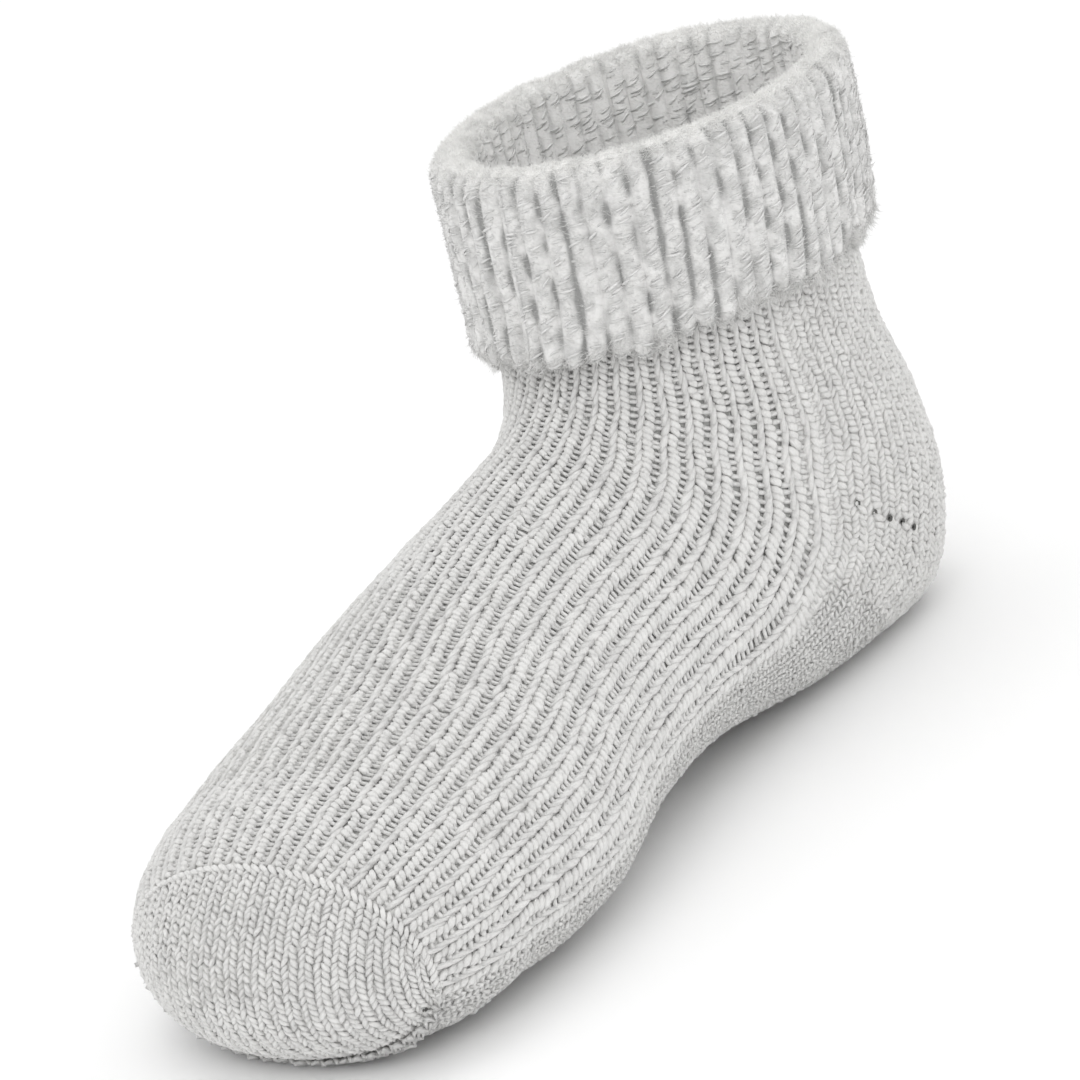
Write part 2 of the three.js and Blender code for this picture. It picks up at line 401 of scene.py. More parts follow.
def add_piece(name, points, faces, material, tint=None, yarn=None, smooth=True):
    """Points in millimetres and faces of one size become an object that rides on the sock."""
    points = points.reshape(-1, 3).copy()
    points[:, 2] = np.maximum(points[:, 2], 0.0)
    mesh = bpy.data.meshes.new(name)
    mesh.vertices.add(len(points))
    mesh.vertices.foreach_set("co", (points / 1000).astype(np.float32).ravel())
    sizes = np.concatenate([np.full(len(f), f.shape[1]) for f in faces])
    mesh.loops.add(int(sizes.sum()))
    mesh.loops.foreach_set("vertex_index", np.concatenate([f.ravel() for f in faces]).astype(np.int32))
    mesh.polygons.add(len(sizes))
    mesh.polygons.foreach_set("loop_start", (np.cumsum(sizes) - sizes).astype(np.int32))
    mesh.polygons.foreach_set("use_smooth", np.full(len(sizes), smooth))
    if tint is not None:
        mesh.attributes.new("tint", "FLOAT", "POINT").data.foreach_set("value", tint.astype(np.float32).ravel())
    if yarn is not None:
        layer = mesh.attributes.new("yarn", "FLOAT_VECTOR", "POINT")
        layer.data.foreach_set("vector", yarn.astype(np.float32).ravel())
    mesh.update(calc_edges=True)
    mesh.validate()
    mesh.materials.append(material)
    piece = bpy.data.objects.new(name, mesh)
    scene.collection.objects.link(piece)
    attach(piece, "root")
    made[name] = int((sizes - 2).sum())
    print(name, made[name], "triangles")
    return piece


def tube(path, radius, sides, flatten=1.0):
    """A closed tube along a path. Round each point of the path lies a ring in the plane across
    the path; flatten presses the rings down. Gives points, faces and (run, round) per point."""
    path = np.asarray(path, float)
    radius = np.asarray(radius, float)
    ahead = unit(np.gradient(path, axis=0))
    lift = np.array([0, 0, 1.0])
    side = unit(np.cross(ahead, lift))
    high = np.cross(side, ahead)
    angle = np.linspace(0, 2 * np.pi, sides, endpoint=False) - np.pi / 2
    ring = side[:, None] * np.cos(angle)[None, :, None] + flatten * high[:, None] * np.sin(angle)[None, :, None]
    points = path[:, None] + radius[:, None, None] * ring
    rings = len(path)
    i, j = np.meshgrid(np.arange(rings - 1), np.arange(sides), indexing="ij")
    k = (j + 1) % sides
    quads = np.stack([i * sides + j, i * sides + k, (i + 1) * sides + k, (i + 1) * sides + j], axis=-1)
    ends = np.array([np.arange(sides)[::-1], (rings - 1) * sides + np.arange(sides)])
    run = np.concatenate([[0], np.cumsum(np.linalg.norm(np.diff(path, axis=0), axis=1))])
    coordinate = np.stack(np.broadcast_arrays(run[:, None], (angle + np.pi / 2)[None, :] * radius.max()), axis=-1)
    return points.reshape(-1, 3), [quads.reshape(-1, 4), ends], coordinate.reshape(-1, 2)


def bent(a, b, rise, rings):
    """A bent yarn from a to b: a straight line plus a parabola of the given rise."""
    s = np.linspace(0, 1, rings)[:, None]
    return np.array(a) * (1 - s) + np.array(b) * s + np.array(rise) * 4 * s * (1 - s)


def swell(radius, rings, ends=0.45):
    """Thin at both ends and full between them, as half a wave."""
    s = np.linspace(0, 1, rings)
    return radius * (ends + (1 - ends) * np.sin(np.pi * s) ** 0.6)


dice = np.random.default_rng(38)


def copies(shape, laid, jitter=0.05, spin=0.0, size=(1.0, 1.0), lift=0.0):
    """Put a stitch shape at every laid stitch: its x across the fabric as a share of the width,
    its y along as a share of the height, its z out in millimetres, each with a little chance."""
    points, faces, coordinate = shape
    count = len(laid["place"])
    chance = lambda spread: dice.normal(0, spread, (count, 1))
    x, y, z = points[:, 0], points[:, 1], points[:, 2]
    grow = dice.uniform(size[0], size[1], (count, 1))
    middle = points.mean(axis=0)
    x = middle[0] + (x - middle[0]) * grow + chance(jitter * 0.5)
    y = middle[1] + (y - middle[1]) * grow + chance(jitter)
    z = z * grow + chance(jitter) * 1.2 + lift
    x = x * laid["width"][:, None]
    y = y * laid["height"][:, None]
    turned = dice.normal(0, spin, (count, 1))
    x, y = x * np.cos(turned) - y * np.sin(turned), x * np.sin(turned) + y * np.cos(turned)
    placed = (
        laid["place"][:, None]
        + x[..., None] * laid["left"][:, None]
        + y[..., None] * laid["along"][:, None]
        + z[..., None] * laid["out"][:, None]
    )
    shift = (np.arange(count) * len(points))[:, None, None]
    all_faces = [(f[None] + shift).reshape(-1, f.shape[1]) for f in faces]
    tint = np.repeat(dice.normal(0, 1, count), len(points))
    yarn = np.column_stack([
        np.tile(coordinate, (count, 1)), np.repeat(dice.uniform(0, 90, count), len(points)),
    ])
    return placed.reshape(-1, 3), all_faces, tint, yarn


def join(parts):
    """Several sets of copies as one, with their faces renumbered."""
    counts = np.cumsum([0] + [len(p[0]) for p in parts])
    faces = [f + start for part, start in zip(parts, counts) for f in part[1]]
    return (
        np.vstack([p[0] for p in parts]), faces,
        np.concatenate([p[2] for p in parts]), np.vstack([p[3] for p in parts]),
    )


def keep(laid, mask):
    return {name: values[mask] for name, values in laid.items()}


# %% [markdown]
# The yarn is a melange: grey and white fibres are mixed before spinning, so the colour drifts from
# stitch to stitch and no two hairs are quite alike. One node group gives that colour and another
# gives the fibres' relief. The materials share them and differ only in their values.

# %% Shared effects: melange and fibres


def new_group(name, sockets):
    group = bpy.data.node_groups.new(name, "ShaderNodeTree")
    for label, kind, way, value in sockets:
        socket = group.interface.new_socket(name=label, in_out=way, socket_type=kind)
        if value is not None:
            socket.default_value = value
    entry = group.nodes.new("NodeGroupInput")
    leave = group.nodes.new("NodeGroupOutput")
    return group, entry, leave


def wire(tree, *pairs):
    for source, target in pairs:
        tree.links.new(source, target)


def maths(tree, operation, a, b, clamp=False):
    node = tree.nodes.new("ShaderNodeMath")
    node.operation = operation
    node.use_clamp = clamp
    for socket, value in zip(node.inputs, (a, b)):
        if isinstance(value, (int, float)):
            socket.default_value = value
        else:
            tree.links.new(value, socket)
    return node.outputs[0]


def noise(tree, vector, scale, detail=2.0):
    node = tree.nodes.new("ShaderNodeTexNoise")
    node.inputs["Detail"].default_value = detail
    tree.links.new(vector, node.inputs["Vector"])
    if isinstance(scale, (int, float)):
        node.inputs["Scale"].default_value = scale
    else:
        tree.links.new(scale, node.inputs["Scale"])
    return node.outputs[0]


melange, entry, leave = new_group("melange", [
    ("Pale", "NodeSocketColor", "INPUT", (0.8, 0.8, 0.8, 1)),
    ("Grey", "NodeSocketColor", "INPUT", (0.5, 0.5, 0.5, 1)),
    ("Patch per m", "NodeSocketFloat", "INPUT", 160.0),
    ("Speck per m", "NodeSocketFloat", "INPUT", 1500.0),
    ("Speck", "NodeSocketFloat", "INPUT", 0.5),
    ("Stitch", "NodeSocketFloat", "INPUT", 0.1),
    ("Color", "NodeSocketColor", "OUTPUT", None),
])
place = melange.nodes.new("ShaderNodeTexCoord").outputs["Object"]
tint = melange.nodes.new("ShaderNodeAttribute")
tint.attribute_name = "tint"
patches = noise(melange, place, entry.outputs["Patch per m"])
specks = noise(melange, place, entry.outputs["Speck per m"], 1.0)
patch = maths(melange, "MULTIPLY", maths(melange, "SUBTRACT", patches, 0.5), 1.6)
speck = maths(melange, "MULTIPLY", maths(melange, "SUBTRACT", specks, 0.5), entry.outputs["Speck"])
# The tint is each stitch's and hair's own tone, but on the ground and the cuff's pile it carries painted shade.
own = maths(melange, "MULTIPLY", tint.outputs["Fac"], entry.outputs["Stitch"])
amount = maths(melange, "ADD", maths(melange, "ADD", patch, speck), maths(melange, "ADD", own, 0.4), True)
mix = melange.nodes.new("ShaderNodeMix")
mix.data_type = "RGBA"
wire(
    melange,
    (amount, mix.inputs["Factor"]),
    (entry.outputs["Pale"], mix.inputs[6]),
    (entry.outputs["Grey"], mix.inputs[7]),
    (mix.outputs[2], leave.inputs["Color"]),
)

fibres, entry, leave = new_group("fibres", [
    ("Depth m", "NodeSocketFloat", "INPUT", 0.0002),
    ("Along", "NodeSocketFloat", "INPUT", 0.5),
    ("Across", "NodeSocketFloat", "INPUT", 4.0),
    ("Normal", "NodeSocketVector", "OUTPUT", None),
])
yarn_run = fibres.nodes.new("ShaderNodeAttribute")
yarn_run.attribute_name = "yarn"
parts = fibres.nodes.new("ShaderNodeSeparateXYZ")
wire(fibres, (yarn_run.outputs["Vector"], parts.inputs[0]))
stretched = fibres.nodes.new("ShaderNodeCombineXYZ")
twist = maths(fibres, "ADD", parts.outputs[1], maths(fibres, "MULTIPLY", parts.outputs[0], 0.5))
wire(
    fibres,
    (maths(fibres, "MULTIPLY", parts.outputs[0], entry.outputs["Along"]), stretched.inputs[0]),
    (maths(fibres, "MULTIPLY", twist, entry.outputs["Across"]), stretched.inputs[1]),
    (parts.outputs[2], stretched.inputs[2]),
)
lines = noise(fibres, stretched.outputs[0], 1.0, 3.0)
relief = fibres.nodes.new("ShaderNodeBump")
wire(
    fibres,
    (lines, relief.inputs["Height"]),
    (entry.outputs["Depth m"], relief.inputs["Distance"]),
    (relief.outputs[0], leave.inputs["Normal"]),
)


def wool(name, pale, grey, patch_size, speck_size, speck, stitch, depth, along, across, sheen):
    """A fabric material: melange colour, fibre relief, a dull face and a soft sheen."""
    material, shader = plain_material(name, pale, 0.92)
    tree = material.node_tree
    colour = tree.nodes.new("ShaderNodeGroup")
    colour.node_tree = melange
    for label, value in (
        ("Pale", (*pale, 1)), ("Grey", (*grey, 1)), ("Patch per m", 1 / patch_size),
        ("Speck per m", 1 / speck_size), ("Speck", speck), ("Stitch", stitch),
    ):
        colour.inputs[label].default_value = value
    surface = tree.nodes.new("ShaderNodeGroup")
    surface.node_tree = fibres
    for label, value in (("Depth m", depth), ("Along", along), ("Across", across)):
        surface.inputs[label].default_value = value
    wire(tree, (colour.outputs[0], shader.inputs["Base Color"]), (surface.outputs[0], shader.inputs["Normal"]))
    shader.inputs["Sheen Weight"].default_value = sheen
    shader.inputs["Sheen Roughness"].default_value = 0.5
    shader.inputs["Specular IOR Level"].default_value = 0.2
    shader.inputs["Subsurface Weight"].default_value = 0.3
    shader.inputs["Subsurface Radius"].default_value = (0.001, 0.001, 0.001)
    shader.inputs["Subsurface Scale"].default_value = 1.0
    return material


knit = wool("melange_knit", (0.8, 0.795, 0.78), (0.66, 0.655, 0.645), 0.006, 0.0005, 1.3, 0.1, 0.0003, 0.4, 2.2, 0.1)
ground = wool("shaded_ground", (0.78, 0.775, 0.76), (0.42, 0.42, 0.41), 0.006, 0.0008, 0.2, 0.7, 0.0002, 1.0, 1.0, 0.0)
# The pile's dark grey is only reached in its rib grooves: it is painted shade.
pile = wool("brushed_pile", (0.82, 0.815, 0.805), (0.36, 0.36, 0.355), 0.004, 0.0006, 0.4, 0.16, 0.0002, 0.6, 4.0, 0.2)
hair = wool("loose_hairs", (0.82, 0.815, 0.805), (0.7, 0.7, 0.69), 0.005, 0.0006, 0.6, 0.12, 0.0001, 0.6, 4.0, 0.1)
# Painted light: a brighter copy of the yarn for the collar's inside, its loops and hairs and the fold's hairs, which
# stands in for light that barely reaches them.
lit_lining = wool("brushed_lining_painted_light", (0.98, 0.975, 0.96), (0.76, 0.76, 0.75), 0.004, 0.0006, 0.5, 0.16, 0.0002, 0.6, 4.0, 0.2)
# Painted shade: a near-black material for the eyelets' funnels, standing in for the shade inside the holes.
shade, _ = plain_material("painted_hole_shade", (0.12, 0.12, 0.115), 1.0)
print("materials", [m.name for m in bpy.data.materials])

# %% [markdown]
# Under the stitches lies the ground: the legs of the loops that run through the fabric, which the
# eye only sees as shade between the stitches. One closed shell a little inside the solid's face
# stands for it. Its inner side is the brushed lining that shows inside the collar.

# %% Ground of the fabric
RIB_GROUND, PLAIN_GROUND = 1.1, 0.65
CUFF_START = 1.6


def in_ribs(turn, t):
    """1 where the front's ribs are and 0 in the plain knitting, with a short ramp between."""
    turn, t = np.broadcast_arrays(turn, t)
    from_front = np.abs((turn + np.pi) % (2 * np.pi) - np.pi)
    edge = np.clip((rib_edge(t) - from_front - 0.08) / 0.05, 0, 1)
    return edge * np.clip((SEAM_T - t) / 0.1, 0, 1)


def grid_faces(rows, columns, closed=True):
    """Quads of a grid whose columns close into a ring, or don't."""
    i, j = np.meshgrid(np.arange(rows - 1), np.arange(columns if closed else columns - 1), indexing="ij")
    k = (j + 1) % columns
    return np.stack([i * columns + j, (i + 1) * columns + j, (i + 1) * columns + k, i * columns + k], -1).reshape(-1, 4)


def fabric_ground():
    """Outer face at the ground's depth from the collar to the toe, then the inner face back."""
    turns = np.linspace(0, 2 * np.pi, 120, endpoint=False)[None, :]
    t = np.concatenate([np.linspace(0, SEAM_AT, 66), SEAM_AT + np.linspace(0, 0.97, 12)[1:]])[:, None]
    ribs = in_ribs(turns, t)
    depth = PLAIN_GROUND + (RIB_GROUND - PLAIN_GROUND) * ribs
    outer = outside(turns, t) - depth[..., None] * outward(turns, t)
    inner = outside(turns, t) - (WALL - 0.2) * outward(turns, t)
    outer[0, :, 2] = inner[0, :, 2] = RIM
    tip = outside(0.0, TIP_AT)
    ends = np.array([tip + [WALL, 0, 0], tip + [PLAIN_GROUND, 0, 0]])
    rings = np.concatenate([inner[::-1], outer]).reshape(-1, 3)
    columns = turns.size
    faces = grid_faces(2 * len(t), columns)
    j = np.arange(columns)
    k = (j + 1) % columns
    start, last = len(rings), (2 * len(t) - 1) * columns
    caps = np.vstack([
        np.column_stack([k, np.full(columns, start), j]),
        np.column_stack([last + j, np.full(columns, start + 1), last + k]),
    ])
    points = np.vstack([rings, ends])
    points[:, 2] = np.maximum(points[:, 2], 0.02)
    dark = ribs * (1.8 - 1.1 * np.clip((t - 8.5) / 2, 0, 1))
    shade = np.concatenate([-np.ones(ribs.size), dark.ravel() - 0.8, [-1, -1]])
    return points, [faces, caps], shade


points, faces, depth_shade = fabric_ground()
body_ground = add_piece("fabric_ground", points, faces, ground, depth_shade, points)
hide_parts("sock_body")

# %% [markdown]
# Each rib has a smooth strand on one side and a row of plump, slanting stitches beside it, and
# between two ribs lies a ladder of small bars with dark gaps. Both are drawn as separate yarns,
# because light catches each stitch by itself, and a flat picture of it would give no edge.

# %% Ribs of the instep and the leg's front
RIBS = 25
COURSES = 131
ribs_at = (np.arange(RIBS) + 0.5) / RIBS * 2 - 1
rib_share = 2 / RIBS
ribbed = lay(front_chart, ribs_at, [(CUFF_START, SEAM_T - 0.02)] * RIBS, -COURSES, rib_share, 0.03)

NOMINAL = (5.4, 1.25)  # the width and height in millimetres that the stitches are drawn for


def as_shares(path, nominal):
    """A path whose x and y are shares, as millimetres."""
    return np.array(path) * [nominal[0], nominal[1], 1]


def stitch_shape(path, radius, sides, nominal, flatten=1.0):
    """A tube along a path in shares, made in millimetres and given back in shares."""
    points, faces, coordinate = tube(as_shares(path, nominal), radius, sides, flatten)
    return points / [nominal[0], nominal[1], 1], faces, coordinate


lozenge = stitch_shape(
    bent((0.17, -0.5, -0.9), (-0.27, 0.66, -0.9), (0, 0, 0.5), 4), swell(0.82, 4, 0.62), 5, NOMINAL, 0.8,
)
bar = stitch_shape([(-0.2, 0.55, -0.68), (-0.58, 0.72, -0.78)], [0.5, 0.46], 4, NOMINAL)
strand = stitch_shape(
    bent((0.24, -1.9, -0.95), (0.42, 1.9, -0.95), (0, 0, 0.42), 5), swell(0.84, 5, 0.75), 4, NOMINAL, 0.9,
)
some = keep(ribbed, (ribbed["course"] + ribbed["line"]) % 2 < 1)
rib_yarn = join([copies(lozenge, ribbed, 0.07, 0.07, (0.93, 1.1)), copies(bar, ribbed, 0.05, 0.05)])
add_piece("rib_stitches", rib_yarn[0], rib_yarn[1], knit, rib_yarn[2], rib_yarn[3])
rib_yarn = copies(strand, some, 0.06, 0.012, (0.94, 1.06))
add_piece("rib_strands", rib_yarn[0], rib_yarn[1], knit, rib_yarn[2], rib_yarn[3])

# %% [markdown]
# The back, the heel and the sole are plain knitting of the same yarn. Every stitch is a V of two
# legs, one steep and one plump. The heel is a pouch: its rows turn back on themselves along a
# slanting line, the gore, and leave a small eyelet wherever they turned.

# %% Plain knitting of the back, heel and sole
PLAIN_LINES = 32
PLAIN_PITCH = 1.38
plain_at = (np.arange(PLAIN_LINES) + 0.5) / PLAIN_LINES * 2 - 1
plain_share = 2 / PLAIN_LINES
plain = lay(rear_chart, plain_at, [(CUFF_START, SEAM_T - 0.01)] * PLAIN_LINES, PLAIN_PITCH, plain_share, 0.03)
FLAT = (4.3, 1.38)
plump_leg = stitch_shape(
    bent((0.06, -0.55, -0.85), (-0.46, 0.62, -0.85), (0, 0, 0.42), 4), swell(0.82, 4, 0.64), 4, FLAT, 0.8,
)
steep_leg = stitch_shape(
    bent((0.1, -0.85, -0.9), (0.46, 0.75, -0.9), (0, 0, 0.42), 4), swell(0.8, 4, 0.64), 4, FLAT, 0.8,
)
GORE_AT = 5.75
EYELETS_PER_SIDE = 5
from_side = np.minimum(plain["line"], PLAIN_LINES - 1 - plain["line"])
close = np.abs(plain["progress"] - GORE_AT) < 0.045
is_eyelet = close & (from_side >= 1) & (from_side <= EYELETS_PER_SIDE)
heel_eyelets = keep(plain, is_eyelet)
stitches = keep(plain, ~is_eyelet)
SOLE_FROM = 7.0
simple_plump = stitch_shape(
    bent((0.06, -0.55, -0.85), (-0.46, 0.62, -0.85), (0, 0, 0.42), 3), swell(0.76, 3, 0.6), 3, FLAT,
)
simple_steep = stitch_shape(
    bent((0.1, -0.85, -0.9), (0.46, 0.75, -0.9), (0, 0, 0.42), 3), swell(0.74, 3, 0.6), 3, FLAT,
)
for name, part, legs in (
    ("heel_and_back_stitches", keep(stitches, stitches["progress"] < SOLE_FROM), (plump_leg, steep_leg)),
    ("sole_stitches", keep(stitches, stitches["progress"] >= SOLE_FROM), (simple_plump, simple_steep)),
):
    yarn = join([copies(leg, part, 0.09, 0.09, (0.9, 1.12)) for leg in legs])
    add_piece(name, yarn[0], yarn[1], knit, yarn[2], yarn[3])

# %% [markdown]
# The toe is a second pouch. It is knitted on from the sole, folded up over the toes, and linked to
# the end of the instep by a fine seam across the top. Its own gore runs round the tip.

# %% Toe pouch
TOE_LINES = 27
TOE_PITCH = 1.3
toe_at = (np.arange(TOE_LINES) + 0.5) / TOE_LINES * 1.96 - 0.98
toe_share = 1.96 / TOE_LINES
toe_top = lay(toe_top_chart, toe_at, [(0.01, 1.02)] * TOE_LINES, TOE_PITCH, toe_share, 0.01)
toe_sole = lay(toe_sole_chart, toe_at, [(0.01, 1.06)] * TOE_LINES, TOE_PITCH, toe_share, 0.01)
last = np.array([toe_top["course"][toe_top["line"] == n].max() for n in range(TOE_LINES)])
inner_line = np.abs(toe_top["line"] - (TOE_LINES - 1) / 2) < TOE_LINES / 2 - 4
at_gore = (toe_top["course"] == last[toe_top["line"].astype(int)] - 1) & (toe_top["line"] % 2 == 0) & ~inner_line
toe_eyelets = keep(toe_top, at_gore)
FINE = (3.4, 1.3)
fine_plump = stitch_shape(
    bent((0.06, -0.55, -0.7), (-0.44, 0.62, -0.7), (0, 0, 0.36), 4), swell(0.68, 4, 0.64), 4, FINE, 0.75,
)
fine_steep = stitch_shape(
    bent((0.1, -0.85, -0.72), (0.46, 0.75, -0.72), (0, 0, 0.36), 4), swell(0.64, 4, 0.64), 4, FINE, 0.75,
)
for name, part, legs in (
    ("toe_top_stitches", keep(toe_top, ~at_gore), (fine_plump, fine_steep)),
    ("toe_sole_stitches", toe_sole, (simple_plump, simple_steep)),
):
    yarn = join([copies(leg, part, 0.08, 0.08, (0.92, 1.1)) for leg in legs])
    add_piece(name, yarn[0], yarn[1], knit, yarn[2], yarn[3])

# %% Linking seam over the toes
SEAM_BEADS = 70
seam_turns = np.linspace(-1.9, 1.9, SEAM_BEADS)


def seam_chart(turn, t):
    return turn, t


beads = lay(seam_chart, seam_turns, [(SEAM_T - 0.015, SEAM_T + 0.015)] * SEAM_BEADS, -1, 3.8 / SEAM_BEADS, 0.01)
beads["height"] = np.full(SEAM_BEADS, 1.25)
bead = stitch_shape(
    bent((0.75, -0.6, -0.5), (-0.75, 0.6, -0.5), (0, 0, 0.45), 5), swell(0.55, 5, 0.5), 6, (1.8, 1.25),
)
seam_yarn = copies(bead, beads, 0.05, 0.1, (0.95, 1.1))
add_piece("toe_seam", seam_yarn[0], seam_yarn[1], knit, seam_yarn[2], seam_yarn[3])

# %% Eyelets of the gores
eyelet_rings = [(1.0, -0.35), (0.75, -0.5), (0.35, -0.68)]


def eyelet_shape(sides):
    """A small funnel: three rings that narrow inwards, closed at the bottom."""
    angle = np.linspace(0, 2 * np.pi, sides, endpoint=False)
    points = [
        np.column_stack([radius * np.cos(angle), radius * np.sin(angle), np.full(sides, depth)])
        for radius, depth in eyelet_rings
    ]
    faces = grid_faces(len(eyelet_rings), sides)
    bottom = (len(eyelet_rings) - 1) * sides + np.arange(sides)
    return np.vstack(points), [faces, bottom[None, :]], np.zeros((len(eyelet_rings) * sides, 2))


holes = {
    name: np.concatenate([heel_eyelets[name], toe_eyelets[name]]) for name in ("place", "left", "along", "out")
}
hole_size = np.concatenate([np.full(len(heel_eyelets["place"]), 0.95), np.full(len(toe_eyelets["place"]), 0.6)])
holes["width"], holes["height"] = hole_size, 0.85 * hole_size
gaps = copies(eyelet_shape(10), holes, 0.03, 0.2, (0.9, 1.1))
# The eyelets' funnels take the near-black material: painted shade of the holes.
add_piece("gore_eyelets", gaps[0], gaps[1], shade, gaps[2], gaps[3])

# %% [markdown]
# The cuff is the same ribbed tube turned inside out, so its brushed loops show. Its form is a
# profile carried round the leg: up the outer face, over the fold and a little way down inside.
# Soft ribs and slow lumps are added to that profile, and its lower edge hangs in uneven scallops.

# %% Cuff
CUFF_RIBS = 60
DROP = CUFF_HEIGHT - FOLD - CLEARANCE
FACE = CLEARANCE + CUFF_THICK
OVER = FOLD + CLEARANCE
PROFILE = np.array([
    (0.9, -DROP + 1.0), (2.4, -DROP - 0.5), (0.85 * FACE, -DROP), (1.05 * FACE, -0.92 * DROP),
    (1.1 * FACE, -0.75 * DROP), (1.1 * FACE, -0.5 * DROP), (1.05 * FACE, -0.25 * DROP),
    (0.95 * FACE, -0.5), (0.7 * FACE, 0.62 * OVER), (0.25 * FACE, OVER), (-0.35 * WALL, 0.97 * OVER),
    (-0.95 * WALL, 0.6 * OVER), (-1.12 * WALL, -1.5), (-1.12 * WALL, -8.0), (-1.1 * WALL, -20.0),
    (-1.1 * WALL, -34.0),
])


def smooth_rows(rows, s):
    """A cubic through the rows at s, the first row at 0 and each next one 1 further."""
    padded = np.vstack([2 * rows[0] - rows[1], rows, 2 * rows[-1] - rows[-2]])
    i = np.minimum(s.astype(int), len(rows) - 2)
    f = (s - i)[..., None]
    p0, p1, p2, p3 = (padded[i + k] for k in range(4))
    return p1 + f * (p2 - p0 + f * (2 * p0 - 5 * p1 + 4 * p2 - p3 + f * (3 * (p1 - p2) + p3 - p0))) / 2


def leg_level(turn, drop):
    """The t at which the leg's side has dropped this far, found by halving."""
    low, high = np.zeros_like(drop), np.full_like(drop, 4.0)
    for _ in range(22):
        t = (low + high) / 2
        short = RIM - outside(turn, t)[..., 2] < drop
        low, high = np.where(short, t, low), np.where(short, high, t)
    return (low + high) / 2


ring_turns = np.linspace(0, 2 * np.pi, 721)
rim_points = outside(ring_turns, 0.0)
ring_run = np.concatenate([[0], np.cumsum(np.linalg.norm(np.diff(rim_points, axis=0), axis=1))])
LEG_GIRTH = ring_run[-1]
DROPS = np.linspace(0, 40, 21)
leg_columns = leg_level(ring_turns[:, None] + 0 * DROPS, DROPS + 0 * ring_turns[:, None])
LEG_SIDE = outside(ring_turns[:, None], leg_columns)
LEG_SIDE[:, 0, 2] = RIM
level_out = outward(ring_turns[:, None], leg_columns)
level_out[..., 2] = 0
LEG_OUT = unit(level_out)


def cuff_base(share, out, rise):
    """A point near the leg's upper end: share of the way round, distance out, height over the
    rim. Below the rim it follows the leg's side, above it it goes straight up."""
    column = np.interp(np.mod(share, 1) * LEG_GIRTH, ring_run, np.arange(len(ring_turns)))
    row = np.clip(-rise, 0, 39.9) / DROPS[1]
    i, j = np.minimum(column.astype(int), len(ring_turns) - 2), row.astype(int)
    a, b = (column - i)[..., None], (row - j)[..., None]

    def read(table):
        top = table[i, j] * (1 - a) + table[i + 1, j] * a
        low = table[i, j + 1] * (1 - a) + table[i + 1, j + 1] * a
        return top * (1 - b) + low * b

    point = read(LEG_SIDE) + read(LEG_OUT) * out[..., None]
    point[..., 2] = np.where(rise > 0, RIM + rise, point[..., 2])
    return point


lump_waves = [(dice.integers(3, 26), dice.uniform(-0.35, 0.35), dice.uniform(0, 6.28)) for _ in range(14)]


def lumps(share, run):
    """Slow unevenness of brushed fabric: a sum of waves at chance angles, about -1 to 1."""
    total = sum(np.sin(2 * np.pi * n * share + k * run + phase) for n, k, phase in lump_waves)
    return total / np.sqrt(len(lump_waves) / 2) / 1.6


profile_s = np.linspace(0, len(PROFILE) - 1, 900)
profile_line = smooth_rows(PROFILE, profile_s)
profile_run = np.concatenate([[0], np.cumsum(np.linalg.norm(np.diff(profile_line, axis=0), axis=1))])
PROFILE_LENGTH = profile_run[-1]
OUTER_RUN = float(np.interp(9.0, profile_s, profile_run))
INSIDE_RUN = float(np.interp(11.0, profile_s, profile_run))


def cuff_surface(share, run, lift=0.0):
    """The cuff's face: the profile at this distance along it, raised by half a rib's wave and by
    lumps in the direction across the profile."""
    s = np.interp(run, profile_run, profile_s)
    here = smooth_rows(PROFILE, s)
    slope = smooth_rows(PROFILE, np.minimum(s + 0.02, len(PROFILE) - 1.001)) - smooth_rows(PROFILE, np.maximum(s - 0.02, 0))
    slope = unit(slope)
    normal = np.stack([slope[..., 1], -slope[..., 0]], axis=-1)
    hem = np.clip(1 - run / 9, 0, 1)
    phase = CUFF_RIBS * 2 * np.pi * share + 0.35 * np.sin(run * 0.11 + 9 * np.sin(6.28 * share))
    rib = np.abs(np.cos(phase / 2)) ** 0.6
    inner = np.clip((run - INSIDE_RUN) / 6, 0, 1)
    depth = 1 - 0.75 * np.exp(-(((run - OUTER_RUN - 1.5) / 4.5) ** 2))
    height = (1.5 * rib - 1.0) * (1 - 0.2 * inner) * depth + 0.28 * lumps(share, run) * (1 - 0.4 * inner) + lift
    out = here[..., 0] + normal[..., 0] * height
    rise = here[..., 1] + normal[..., 1] * height
    rise = rise - hem * (0.8 * rib + 1.6 * lumps(share, 0 * run + 3.0))
    return cuff_base(share, out, rise)


def cuff_frame(share, run, lift=0.0):
    """Place, sideways, down the profile and out, at points of the cuff's face."""
    place = cuff_surface(share, run, lift)
    side = cuff_surface(share + 0.0006, run, lift) - cuff_surface(share - 0.0006, run, lift)
    along = unit(cuff_surface(share, np.minimum(run + 0.15, PROFILE_LENGTH - 0.01), lift) - cuff_surface(share, np.maximum(run - 0.15, 0), lift))
    side = unit(side)
    return place, side, along, unit(np.cross(side, along))


shares, runs = np.meshgrid(
    np.linspace(0, 1, 600, endpoint=False), np.linspace(0, PROFILE_LENGTH, 64), indexing="xy",
)
cuff_points = cuff_surface(shares, runs)
cuff_faces = grid_faces(cuff_points.shape[0], cuff_points.shape[1])
cuff_yarn = np.stack([shares * LEG_GIRTH, runs, 0 * runs], axis=-1)
